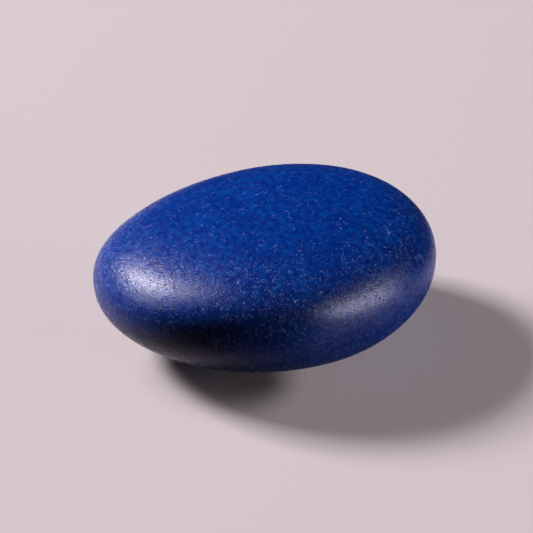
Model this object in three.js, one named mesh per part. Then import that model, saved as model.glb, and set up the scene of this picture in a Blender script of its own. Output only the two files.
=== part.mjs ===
// A palm stone: one oval pebble worn smooth all over, lying on its belly.
// Millimetres, +Z up. The long axis runs along X and the thicker end is at +X.
// The origin is the centre of the base, on the surface that the stone lies on.

import * as THREE from 'three';
import { mergeVertices } from 'three/addons/utils/BufferGeometryUtils.js';

// Driving dimensions, in millimetres.
const HALF_LENGTH = 33;
const HALF_WIDTH = 25.2;
const HALF_THICKNESS = 14.75;
const CROWN_FLATTENING = 2.1; // the top is this much lower, and the belly this much deeper
const RESTING_FLAT_DEPTH = 0.25; // how deep the underside is worn flat where it rests

// Fullness is the power of the superellipse that the profile follows: 2 is a plain
// ellipse, and more gives a flatter face with a tighter shoulder. These are its value
// in the middle of the stone, and what is added to it at the +X end, the +Y side and
// the top. The opposite end, side and face lose as much.
const FULLNESS = 2.22;
const FULLNESS_TO_END = -0.13;
const FULLNESS_TO_SIDE = -0.13;
const FULLNESS_TO_TOP = -0.08;

// Unevenness of the worn form.
const PLAN_SKEW = -0.052; // share by which the (+X, +Y) diagonal of the plan is longer
const THICKENING = 0.08; // share of thickness gained from the middle to the +X end
const TWIST = 2.4; // millimetres by which the (+X, +Y) diagonal's ends stand higher
const LEAN = 0.038; // millimetres of rise for each millimetre along X

// How finely the sphere that the pebble is shaped from is divided.
const SPHERE_DETAIL = 17;

// Moves a point of the unit sphere to its place on the pebble.
function shapePebble(point) {
  const spread = Math.hypot(point.x, point.y);
  const planChange = FULLNESS_TO_END * point.x + FULLNESS_TO_SIDE * point.y;
  const power = FULLNESS + planChange * spread + FULLNESS_TO_TOP * point.z;
  const reach = (spread ** power + Math.abs(point.z) ** power) ** (-1 / power);
  point.multiplyScalar(reach);

  const skew = 1 + PLAN_SKEW * point.x * point.y;
  const along = point.x * skew;
  const across = point.y * skew;
  const height = point.z * (HALF_THICKNESS - CROWN_FLATTENING * point.z);

  const x = HALF_LENGTH * along;
  const y = HALF_WIDTH * across;
  const z = height * (1 + THICKENING * along) + TWIST * along * across + LEAN * x;
  return point.set(x, y, z);
}

// Wears the underside flat, and moves the origin to the centre of the base.
function seatOnBase(geometry) {
  geometry.computeBoundingBox();
  const { min, max } = geometry.boundingBox;
  const base = min.z + RESTING_FLAT_DEPTH;
  const positions = geometry.attributes.position;
  for (let i = 0; i < positions.count; i += 1) {
    positions.setZ(i, Math.max(positions.getZ(i), base));
  }
  geometry.translate(-(min.x + max.x) / 2, -(min.y + max.y) / 2, -base);
}

function makePebbleGeometry() {
  const sphere = new THREE.IcosahedronGeometry(1, SPHERE_DETAIL);
  sphere.deleteAttribute('normal');
  sphere.deleteAttribute('uv');
  const geometry = mergeVertices(sphere);
  const positions = geometry.attributes.position;
  const point = new THREE.Vector3();
  for (let i = 0; i < positions.count; i += 1) {
    shapePebble(point.fromBufferAttribute(positions, i));
    positions.setXYZ(i, point.x, point.y, point.z);
  }
  seatOnBase(geometry);
  geometry.computeVertexNormals();
  return geometry;
}

function makePalmStone() {
  const blueStone = new THREE.MeshStandardMaterial({
    color: 0x0b2f9a,
    roughness: 0.42,
    metalness: 0,
  });
  const stone = new THREE.Mesh(makePebbleGeometry(), blueStone);
  stone.name = 'palm_stone';
  return stone;
}

const part = new THREE.Group();
part.add(makePalmStone());

export default part;
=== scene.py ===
"""Looks of the palm stone: a satin blue pebble with fine pale flecks, small pits and hairline
scratches, lying on a plain pale floor. Objects are in metres. Named lengths are in millimetres,
where nothing else is said.
"""

import math

import bmesh
import bpy
import numpy as np
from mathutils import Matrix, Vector, noise
from mathutils.kdtree import KDTree


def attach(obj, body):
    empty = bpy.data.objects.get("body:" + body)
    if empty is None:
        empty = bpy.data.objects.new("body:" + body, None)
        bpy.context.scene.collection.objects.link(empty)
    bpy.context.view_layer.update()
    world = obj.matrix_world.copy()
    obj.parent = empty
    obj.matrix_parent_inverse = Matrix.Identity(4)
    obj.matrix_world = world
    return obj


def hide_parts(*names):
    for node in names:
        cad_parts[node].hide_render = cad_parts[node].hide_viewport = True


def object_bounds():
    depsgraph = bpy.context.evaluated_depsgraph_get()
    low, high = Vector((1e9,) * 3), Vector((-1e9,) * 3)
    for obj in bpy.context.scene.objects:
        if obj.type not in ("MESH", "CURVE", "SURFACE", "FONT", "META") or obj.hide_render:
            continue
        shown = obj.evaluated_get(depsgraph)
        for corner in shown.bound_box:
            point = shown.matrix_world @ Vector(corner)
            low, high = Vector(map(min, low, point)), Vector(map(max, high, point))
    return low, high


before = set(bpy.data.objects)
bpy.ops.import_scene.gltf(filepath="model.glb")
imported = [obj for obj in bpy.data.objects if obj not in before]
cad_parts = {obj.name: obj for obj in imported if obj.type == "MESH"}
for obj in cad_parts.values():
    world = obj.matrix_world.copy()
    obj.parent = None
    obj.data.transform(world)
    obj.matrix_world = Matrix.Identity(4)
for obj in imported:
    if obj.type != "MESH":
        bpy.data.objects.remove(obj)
cad_low, cad_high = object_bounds()

MM = 0.001

# The pebble's form: the solid's own values and formula.
HALF_LENGTH = 33.0
HALF_WIDTH = 25.2
HALF_THICKNESS = 14.75
CROWN_FLATTENING = 2.1
RESTING_FLAT_DEPTH = 0.25
FULLNESS = 2.22
FULLNESS_TO_END = -0.13
FULLNESS_TO_SIDE = -0.13
FULLNESS_TO_TOP = -0.08
PLAN_SKEW = -0.052
THICKENING = 0.08
TWIST = 2.4
LEAN = 0.038

# The surface mesh, and the small relief that is real geometry.
FACE_DIVISIONS = 127  # each of the six sides of the shaping cube has this many squares a side
SWELL_HEIGHT = 0.07  # broad hand-worn unevenness
SWELL_LENGTH = 11.0
RIPPLE_HEIGHT = 0.012
RIPPLE_LENGTH = 2.6
PIT_COUNT = 420
PIT_RADII = (0.3, 0.62)
PIT_DEPTHS = (0.015, 0.05)
RELIEF_SEED = 7

# The stone's colours, scene linear.
BASE_BLUE = (0.0, 0.021, 0.25, 1)
CLEAR_BLUE = (0.0, 0.105, 0.57, 1)
# The specks are bluer at the top and paler at the sides: partly wear, partly painted light.
TOP_SPECK = (0.04, 0.24, 0.88, 1)
PALE_SPECK = (0.36, 0.45, 1.0, 1)

# Wear grows with the distance from a point on the top, between the two distances. It makes the
# flecks denser, bolder and paler. This is partly wear and partly painted light, which makes up
# for the dimmer light on the sides. Each pair gives the value at no wear and at full wear.
TOP_POINT = (4.0, 8.0, 28.0)
TOP_TO_SIDES = (14.0, 34.0)
CROWD_BY_WEAR_AND_LIFT = (0.84, 1.2)
BOLDNESS_BY_WEAR_AND_LIFT = (0.72, 1.18)

# Noises: waves in a millimetre, levels of detail, and how rough the finer levels are.
GRAIN_NOISE = (0.85, 3.0, 0.62)
CLOUD_NOISE = (0.13, 2.0)
PATCH_NOISE = (0.16, 2.0)
CLUSTER_NOISE = (0.75, 2.0)
THREAD_NOISE = (0.6, 1.0)
THREAD_PIECE_NOISE = (1.0, 1.0)
SCRATCH_NOISE = (1.0, 2.0)
SATIN_NOISE = (0.8, 3.0)
RELIEF_NOISE = (0.8, 4.0, 0.62)

# How a noise is used: where it starts and ends to count, and the values that it gives there.
GRAIN_RAMP = (0.36, 0.7, 0.05, 0.5)
CLOUD_RAMP = (0.3, 0.7, 0.75, 1.25)
PATCH_RAMP = (0.32, 0.66, 0.88, 1.0)
CLUSTER_RAMP = (0.35, 0.62, 0.7, 1.03)
THREAD_PIECE_RAMP = (0.61, 0.66, 0.0, 1.0)
SCRATCH_RAMP = (0.35, 0.7, 0.0, 1.0)
ROUGHNESS_RAMP = (0.3, 0.7, 0.22, 0.32)
THREAD_WIDTH = 0.03  # of the noise that the threads are contours of

# Specks: cells in a millimetre, the largest radius in cells, and the share of cells that have one.
HAZE = (1.9, 0.45, 0.6)
DUST = (3.6, 0.48, 0.8)
FLECKS = (2.4, 0.38, 0.62)
CRUMBS = (1.05, 0.27, 0.32)
PORES = (1.4, 0.34, 0.55)
SPECK_EDGE = 0.4  # of the largest radius

# How much of its own colour each kind of mark has.
HAZE_STRENGTH = 0.25
DUST_STRENGTH = 0.38
FLECK_STRENGTH = 0.45
THREAD_STRENGTH = 0.4
CRUMB_STRENGTH = 0.44

# Marks are drawn crooked by shifting places by up to half of this reach.
CROOKED_NOISE = (1.6, 1.0)
CROOKED_REACH = 0.7

# The finest relief, which is bump only, and the gloss.
RELIEF_DEPTH = 0.09
SCRATCH_DEPTH = 0.01
SCRATCH_TURNS = (0.3, 1.4, 2.4)
SCRATCH_TILT = 0.6  # of the turn
SCRATCH_STRETCH = (0.5, 6.0, 6.0)  # how closely the scratches lie along and across
PORE_DEPTH = 0.06
PORE_ROUGHNESS = 0.5
STONE_IOR = 1.53

# Azimuth is turned from straight behind the stone (+Y) towards -X, and for the camera from
# straight in front (-Y) towards +X. The camera looks at a point beside the stone's middle. Right
# and up are as it sees them.
CAMERA_AZIMUTH = -14.2
CAMERA_ELEVATION = 36.2
CAMERA_DISTANCE = 243.7
CAMERA_VIEW_ANGLE = 24.0
LOOK_HEIGHT = 12.0
LOOK_RIGHT = 0.22
LOOK_UP = 2.55

# Lights: name, what each lights, azimuth, elevation, distance and size in metres, and watts.
# The glint stands close by and low, to light the front shoulder.
FAR = 3.0
NEAR = 0.0693
LIGHTS = (
    ("sky", "colour", 54, 39, FAR, (0.72, 0.72), 109),
    ("side", "colour", -110, 5, FAR, (1.35, 0.5), 39.5),
    ("key", "gloss", 57, 42, FAR, (0.6, 0.6), 84),
    ("crest", "gloss", 80, 57, FAR, (0.9, 1.35), 31.5),
    ("flank", "gloss", 88, 25, FAR, (0.9, 0.9), 21.6),
    ("lift", "gloss", -120, 25, FAR, (0.9, 0.9), 5.4),
    ("glint", "gloss", -142.5, 23.8, NEAR, (0.038, 0.019), 0.0133),
)
COLOUR_LIGHT_COLOUR = (1, 1, 1)
GLOSS_LIGHT_COLOUR = (1.05, 0.95, 0.91)
AMBIENT_COLOUR = (1, 1, 1, 1)
AMBIENT_STRENGTH = 0.004

# The floor, its side in metres. It glows a little: painted light, so that the shadow on it stays
# soft. It doesn't glow where the stone nearly touches it, which paints a dark contact shadow there:
# the glow grows with the sum of the distances to two points.
FLOOR_SIZE = 24.0
FLOOR_COLOUR = (0.61, 0.52, 0.545, 1)
FLOOR_ROUGHNESS = 0.9
PAINTED_FLOOR_LIGHT = 0.29
PAINTED_SHADE_ENDS = ((-20.0, -7.5, 0.0), (-4.0, -15.5, 0.0))
GLOW_FROM = 17.5
GLOW_TO = 35.0

# Painted reflection: in the stone's gloss the floor is dark on one side of a point before the stone,
# and fades out behind the stone, though its own colour is even. The edge is in cosines of the angle
# between a place and the dark side.
PAINTED_REFLECTION_COLOUR = (0.74, 0.6, 0.7, 1)
PAINTED_REFLECTION_BLACK = (0, 0, 0, 1)
DARK_FROM_POINT = (8.0, -39.0, 0.0)
DARK_AZIMUTH = 136.0
DARK_EDGE = (-0.16, 0.66)
BACK_AZIMUTH = -35.0
BACK_FADE = (50.0, 95.0)
BACK_SHARE = 0.05


def direction(azimuth, elevation):
    """Unit vector from the stone, azimuth turned from +Y towards -X."""
    a, e = math.radians(azimuth), math.radians(elevation)
    return Vector((-math.sin(a) * math.cos(e), math.cos(a) * math.cos(e), math.sin(e)))


def shape_pebble(sphere):
    """Places points of the unit sphere on the smooth pebble, in millimetres."""
    x, y, z = sphere.T
    spread = np.hypot(x, y)
    plan_change = FULLNESS_TO_END * x + FULLNESS_TO_SIDE * y
    power = FULLNESS + plan_change * spread + FULLNESS_TO_TOP * z
    reach = (spread**power + np.abs(z) ** power) ** (-1 / power)
    x, y, z = x * reach, y * reach, z * reach
    skew = 1 + PLAN_SKEW * x * y
    along, across = x * skew, y * skew
    height = z * (HALF_THICKNESS - CROWN_FLATTENING * z)
    x, y = HALF_LENGTH * along, HALF_WIDTH * across
    z = height * (1 + THICKENING * along) + TWIST * along * across + LEAN * x
    z = np.maximum(z, z.min() + RESTING_FLAT_DEPTH)
    return np.stack([x, y, z - z.min()], axis=1)


def fit_to_solid(points):
    """Centres points over the origin and keeps them inside the solid's box."""
    low, high = points.min(axis=0), points.max(axis=0)
    room = np.array(cad_high - cad_low) / MM
    scale = min(1.0, (room / (high - low)).min())
    base = np.array([(low[0] + high[0]) / 2, (low[1] + high[1]) / 2, low[2]])
    return (points - base) * scale


def swell_at(point):
    return noise.noise(point / SWELL_LENGTH) * SWELL_HEIGHT


def ripple_at(point):
    return noise.noise(point / RIPPLE_LENGTH) * RIPPLE_HEIGHT


def pit_relief(points):
    """Depth of the small round pits at each point."""
    draw = np.random.default_rng(RELIEF_SEED)
    tree = KDTree(len(points))
    for index, point in enumerate(points):
        tree.insert(point, index)
    tree.balance()
    depth = np.zeros(len(points))
    for _ in range(PIT_COUNT):
        centre = points[draw.integers(len(points))]
        radius = draw.uniform(*PIT_RADII)
        deepest = draw.uniform(*PIT_DEPTHS)
        for _, index, distance in tree.find_range(centre, radius):
            bowl = deepest * (0.5 + 0.5 * math.cos(math.pi * distance / radius))
            depth[index] = max(depth[index], bowl)
    return depth


def make_sphere_mesh():
    """A unit sphere of even squares: a divided cube, blown round."""
    mesh = bpy.data.meshes.new("palm_stone_surface")
    ball = bmesh.new()
    bmesh.ops.create_cube(ball, size=2.0)
    bmesh.ops.subdivide_edges(ball, edges=ball.edges[:], cuts=FACE_DIVISIONS - 1, use_grid_fill=True)
    for vertex in ball.verts:
        vertex.co = Vector([math.tan(c * math.pi / 4) for c in vertex.co])
        vertex.co.normalize()
    ball.to_mesh(mesh)
    ball.free()
    return mesh


def rows_of(vectors, field):
    """One row for each of a mesh's positions or normals."""
    values = np.empty(len(vectors) * 3)
    vectors.foreach_get(field, values)
    return values.reshape(-1, 3)


def make_stone():
    mesh = make_sphere_mesh()
    points = fit_to_solid(shape_pebble(rows_of(mesh.vertices, "co")))
    mesh.vertices.foreach_set("co", points.ravel())
    mesh.update()
    normals = rows_of(mesh.vertex_normals, "vector")
    places = [Vector(point) for point in points]
    relief = np.array([swell_at(place) + ripple_at(place) for place in places])
    relief = relief - relief.max() - pit_relief(points)
    points = fit_to_solid(points + normals * relief[:, None])
    mesh.vertices.foreach_set("co", (points * MM).ravel())
    mesh.update()
    mesh.shade_smooth()
    stone = bpy.data.objects.new("stone_surface", mesh)
    bpy.context.scene.collection.objects.link(stone)
    return stone


class Nodes:
    """Short calls for building a material's node tree."""

    # Places of the colour sockets in a Mix node, whose sockets share their names.
    MIX_FIRST = 6
    MIX_SECOND = 7
    MIX_RESULT = 2

    def __init__(self, tree):
        self.tree = tree

    def add(self, kind, inputs=(), **settings):
        node = self.tree.nodes.new(kind)
        for name, value in settings.items():
            setattr(node, name, value)
        for name, value in dict(inputs).items():
            self.feed(node.inputs[name], value)
        return node

    def feed(self, socket, value):
        if isinstance(value, bpy.types.NodeSocket):
            self.tree.links.new(value, socket)
        else:
            socket.default_value = value

    def noise(self, vector, scale, detail, roughness=0.5):
        return self.noise_node(vector, scale, detail, roughness).outputs[0]

    def noise_node(self, vector, scale, detail, roughness=0.5):
        inputs = {"Vector": vector, "Scale": scale, "Detail": detail, "Roughness": roughness}
        return self.add("ShaderNodeTexNoise", inputs)

    def cells(self, vector, scale):
        return self.add("ShaderNodeTexVoronoi", {"Vector": vector, "Scale": scale})

    def stretch(self, vector, rotation, scale):
        inputs = {"Vector": vector, "Rotation": rotation, "Scale": scale}
        return self.add("ShaderNodeMapping", inputs).outputs[0]

    def ramp(self, value, low, high, to_low=0.0, to_high=1.0):
        """Maps low..high to to_low..to_high, smooth and held at both ends."""
        inputs = {
            "Value": value,
            "From Min": low,
            "From Max": high,
            "To Min": to_low,
            "To Max": to_high,
        }
        node = self.add("ShaderNodeMapRange", inputs, interpolation_type="SMOOTHSTEP")
        return node.outputs[0]

    def vector(self, operation, first, second=(0.0, 0.0, 0.0)):
        node = self.add("ShaderNodeVectorMath", operation=operation)
        self.feed(node.inputs[0], first)
        self.feed(node.inputs[1], second)
        measured = operation in ("LENGTH", "DOT_PRODUCT")
        return node.outputs["Value" if measured else "Vector"]

    def distance(self, place, point):
        return self.vector("LENGTH", self.vector("SUBTRACT", place, point))

    def math(self, operation, first, second=0.0):
        node = self.add("ShaderNodeMath", operation=operation)
        self.feed(node.inputs[0], first)
        self.feed(node.inputs[1], second)
        return node.outputs[0]

    def times(self, first, second):
        return self.math("MULTIPLY", first, second)

    def blend(self, share, first, second):
        """The first colour where the share is 0, and the second where it is 1."""
        node = self.add("ShaderNodeMix", data_type="RGBA")
        self.feed(node.inputs["Factor"], share)
        self.feed(node.inputs[self.MIX_FIRST], first)
        self.feed(node.inputs[self.MIX_SECOND], second)
        return node.outputs[self.MIX_RESULT]

    def bump(self, height, depth_mm, normal=None):
        inputs = {"Height": height, "Distance": depth_mm * MM, "Strength": 1.0}
        node = self.add("ShaderNodeBump", inputs)
        if normal is not None:
            self.feed(node.inputs["Normal"], normal)
        return node.outputs[0]


def crook(nodes, place):
    """Shifts places unevenly, so that round marks come out crooked."""
    shift = nodes.noise_node(place, *CROOKED_NOISE).outputs["Color"]
    centred = nodes.vector("SUBTRACT", shift, (0.5, 0.5, 0.5))
    reach = nodes.vector("MULTIPLY", centred, (CROOKED_REACH, CROOKED_REACH, CROOKED_REACH))
    return nodes.vector("ADD", place, reach)


def specks(nodes, place, scale, radius, share, crowd=1.0):
    """Specks: one in each kept cell, with its own size. Fewer and smaller where crowd is low."""
    cells = nodes.cells(place, scale)
    parts = nodes.add("ShaderNodeSeparateColor", {"Color": cells.outputs["Color"]})
    luck = nodes.times(parts.outputs[0], crowd)
    size = nodes.ramp(luck, 1 - share, 1.0, 0.0, radius)
    edge = nodes.math("SUBTRACT", size, cells.outputs["Distance"])
    return nodes.ramp(edge, 0.0, radius * SPECK_EDGE)


def threads(nodes, place):
    """Short curved threads: pieces of the contour lines of a noise."""
    field = nodes.noise(place, *THREAD_NOISE)
    away = nodes.math("ABSOLUTE", nodes.math("SUBTRACT", field, 0.5))
    line = nodes.ramp(away, THREAD_WIDTH, 0.0)
    pieces = nodes.ramp(nodes.noise(place, *THREAD_PIECE_NOISE), *THREAD_PIECE_RAMP)
    return nodes.times(line, pieces)


def scratches(nodes, place, turn):
    """Fine parallel hairlines in one direction."""
    stretched = nodes.stretch(place, (turn, turn * SCRATCH_TILT, turn), SCRATCH_STRETCH)
    return nodes.ramp(nodes.noise(stretched, *SCRATCH_NOISE), *SCRATCH_RAMP)


def crowding(nodes, place, wear_and_lift):
    """How thickly flecks lie: in clusters, and more towards the sides, partly as wear and partly as
    painted light that makes up for the sides' dimmer light.
    """
    patches = nodes.ramp(nodes.noise(place, *PATCH_NOISE), *PATCH_RAMP)
    clusters = nodes.ramp(nodes.noise(place, *CLUSTER_NOISE), *CLUSTER_RAMP)
    by_wear_and_lift = nodes.ramp(wear_and_lift, 0.0, 1.0, *CROWD_BY_WEAR_AND_LIFT)
    return nodes.times(nodes.times(patches, clusters), by_wear_and_lift)


def speckled_colour(nodes, place):
    crooked = crook(nodes, place)
    grain = nodes.ramp(nodes.noise(place, *GRAIN_NOISE), *GRAIN_RAMP)
    cloud = nodes.ramp(nodes.noise(place, *CLOUD_NOISE), *CLOUD_RAMP)
    colour = nodes.blend(nodes.times(grain, cloud), BASE_BLUE, CLEAR_BLUE)
    haze = specks(nodes, crooked, *HAZE)
    colour = nodes.blend(nodes.times(haze, HAZE_STRENGTH), colour, CLEAR_BLUE)

    # Away from the top the flecks grow denser, bolder and paler: partly wear, partly painted light that
    # makes up for the dimmer light on the sides.
    wear_and_lift = nodes.ramp(nodes.distance(place, TOP_POINT), *TOP_TO_SIDES)
    boldness = nodes.ramp(wear_and_lift, 0.0, 1.0, *BOLDNESS_BY_WEAR_AND_LIFT)
    crowd = crowding(nodes, place, wear_and_lift)
    fleck = nodes.blend(wear_and_lift, TOP_SPECK, PALE_SPECK)
    marks = (
        (specks(nodes, crooked, *DUST, crowd), DUST_STRENGTH, fleck),
        (specks(nodes, crooked, *FLECKS, crowd), FLECK_STRENGTH, fleck),
        (threads(nodes, place), THREAD_STRENGTH, PALE_SPECK),
        (specks(nodes, crooked, *CRUMBS), CRUMB_STRENGTH, PALE_SPECK),
    )
    for mark, strength, tint in marks:
        share = nodes.times(mark, nodes.times(boldness, strength))
        colour = nodes.blend(share, colour, tint)
    return colour


def worn_relief(nodes, place, pores):
    """The normal of the finely scratched, grainy surface with its pores."""
    normal = nodes.bump(nodes.noise(place, *RELIEF_NOISE), RELIEF_DEPTH)
    for turn in SCRATCH_TURNS:
        normal = nodes.bump(scratches(nodes, place, turn), SCRATCH_DEPTH, normal)
    return nodes.bump(nodes.math("SUBTRACT", 1.0, pores), PORE_DEPTH, normal)


def make_stone_material():
    material = bpy.data.materials.new("blue_stone")
    material.use_nodes = True
    shader = material.node_tree.nodes["Principled BSDF"]
    nodes = Nodes(material.node_tree)
    metres = nodes.add("ShaderNodeTexCoord").outputs["Object"]
    place = nodes.stretch(metres, (0, 0, 0), (1 / MM, 1 / MM, 1 / MM))
    pores = specks(nodes, crook(nodes, place), *PORES)
    satin = nodes.ramp(nodes.noise(place, *SATIN_NOISE), *ROUGHNESS_RAMP)
    roughness = nodes.math("ADD", satin, nodes.times(pores, PORE_ROUGHNESS))
    nodes.feed(shader.inputs["Base Color"], speckled_colour(nodes, place))
    nodes.feed(shader.inputs["Roughness"], roughness)
    nodes.feed(shader.inputs["Normal"], worn_relief(nodes, place, pores))
    shader.inputs["IOR"].default_value = STONE_IOR
    return material


def painted_floor_reflection(nodes, place):
    """Painted reflection: the floor's colour as the stone's gloss shows it, dark on one side and faded
    behind.
    """
    from_point = nodes.vector("SUBTRACT", place, Vector(DARK_FROM_POINT) * MM)
    towards = nodes.vector("NORMALIZE", from_point)
    to_dark_side = nodes.vector("DOT_PRODUCT", towards, direction(DARK_AZIMUTH, 0))
    seen = nodes.ramp(to_dark_side, *DARK_EDGE, 1.0, 0.0)
    behind = nodes.vector("DOT_PRODUCT", place, direction(BACK_AZIMUTH, 0))
    fade_from, fade_to = BACK_FADE
    near = nodes.ramp(behind, fade_from * MM, fade_to * MM, 1.0, BACK_SHARE)
    return nodes.blend(nodes.times(seen, near), PAINTED_REFLECTION_BLACK, PAINTED_REFLECTION_COLOUR)


def painted_light_and_contact_shade(nodes, place):
    """Painted light: how strongly the floor glows, not at all round the contact, which paints a contact
    shadow there, and evenly further out.
    """
    reaches = [nodes.distance(place, Vector(end) * MM) for end in PAINTED_SHADE_ENDS]
    return nodes.ramp(nodes.math("ADD", *reaches), GLOW_FROM * MM, GLOW_TO * MM, 0.0, PAINTED_FLOOR_LIGHT)


def make_floor_material():
    material = bpy.data.materials.new("floor")
    material.use_nodes = True
    shader = material.node_tree.nodes["Principled BSDF"]
    nodes = Nodes(material.node_tree)
    place = nodes.add("ShaderNodeTexCoord").outputs["Object"]  # in metres
    in_gloss = nodes.add("ShaderNodeLightPath").outputs["Is Glossy Ray"]
    # Glossy rays see the painted reflection colour instead of the floor's own.
    colour = nodes.blend(in_gloss, FLOOR_COLOUR, painted_floor_reflection(nodes, place))
    outside_gloss = nodes.math("SUBTRACT", 1.0, in_gloss)
    nodes.feed(shader.inputs["Base Color"], colour)
    # The floor glows in its own colour as painted light, but not in the stone's gloss.
    nodes.feed(shader.inputs["Emission Color"], colour)
    nodes.feed(shader.inputs["Emission Strength"], nodes.times(painted_light_and_contact_shade(nodes, place), outside_gloss))
    shader.inputs["Roughness"].default_value = FLOOR_ROUGHNESS
    shader.inputs["Specular IOR Level"].default_value = 0.0
    return material


def add_floor():
    mesh = bpy.data.meshes.new("floor")
    half = FLOOR_SIZE / 2
    corners = [(-half, -half, 0), (half, -half, 0), (half, half, 0), (-half, half, 0)]
    mesh.from_pydata(corners, [], [(0, 1, 2, 3)])
    mesh.materials.append(make_floor_material())
    floor = bpy.data.objects.new("floor", mesh)
    floor.visible_diffuse = False
    bpy.context.scene.collection.objects.link(floor)


def add_light(name, on, azimuth, elevation, distance, size, watts):
    on_gloss = on == "gloss"
    data = bpy.data.lights.new(name, "AREA")
    data.shape = "RECTANGLE"
    data.size, data.size_y = size
    data.energy = watts
    data.color = GLOSS_LIGHT_COLOUR if on_gloss else COLOUR_LIGHT_COLOUR
    lamp = bpy.data.objects.new(name, data)
    towards = direction(azimuth, elevation)
    lamp.location = towards * distance
    lamp.rotation_mode = "QUATERNION"
    lamp.rotation_quaternion = towards.to_track_quat("Z", "Y")
    lamp.visible_camera = False
    lamp.visible_diffuse = not on_gloss
    lamp.visible_glossy = on_gloss
    bpy.context.scene.collection.objects.link(lamp)


def add_camera():
    back = direction(CAMERA_AZIMUTH + 180, CAMERA_ELEVATION)
    a = math.radians(CAMERA_AZIMUTH)
    right = Vector((math.cos(a), math.sin(a), 0))
    up = back.cross(right)
    target = Vector((0, 0, LOOK_HEIGHT)) + right * LOOK_RIGHT + up * LOOK_UP
    data = bpy.data.cameras.new("camera")
    data.sensor_fit = "HORIZONTAL"
    data.angle = math.radians(CAMERA_VIEW_ANGLE)
    data.clip_start = 0.01
    camera = bpy.data.objects.new("camera", data)
    camera.location = (target + back * CAMERA_DISTANCE) * MM
    camera.rotation_mode = "QUATERNION"
    camera.rotation_quaternion = back.to_track_quat("Z", "Y")
    bpy.context.scene.collection.objects.link(camera)
    bpy.context.scene.camera = camera


def add_world():
    world = bpy.data.worlds.new("studio")
    world.use_nodes = True
    backdrop = world.node_tree.nodes["Background"]
    backdrop.inputs["Color"].default_value = AMBIENT_COLOUR
    backdrop.inputs["Strength"].default_value = AMBIENT_STRENGTH
    bpy.context.scene.world = world
    bpy.context.scene.view_settings.view_transform = "Standard"


add_camera()
add_floor()
add_world()
for light in LIGHTS:
    add_light(*light)

stone = make_stone()
stone.data.materials.append(make_stone_material())
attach(stone, "root")
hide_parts("palm_stone")
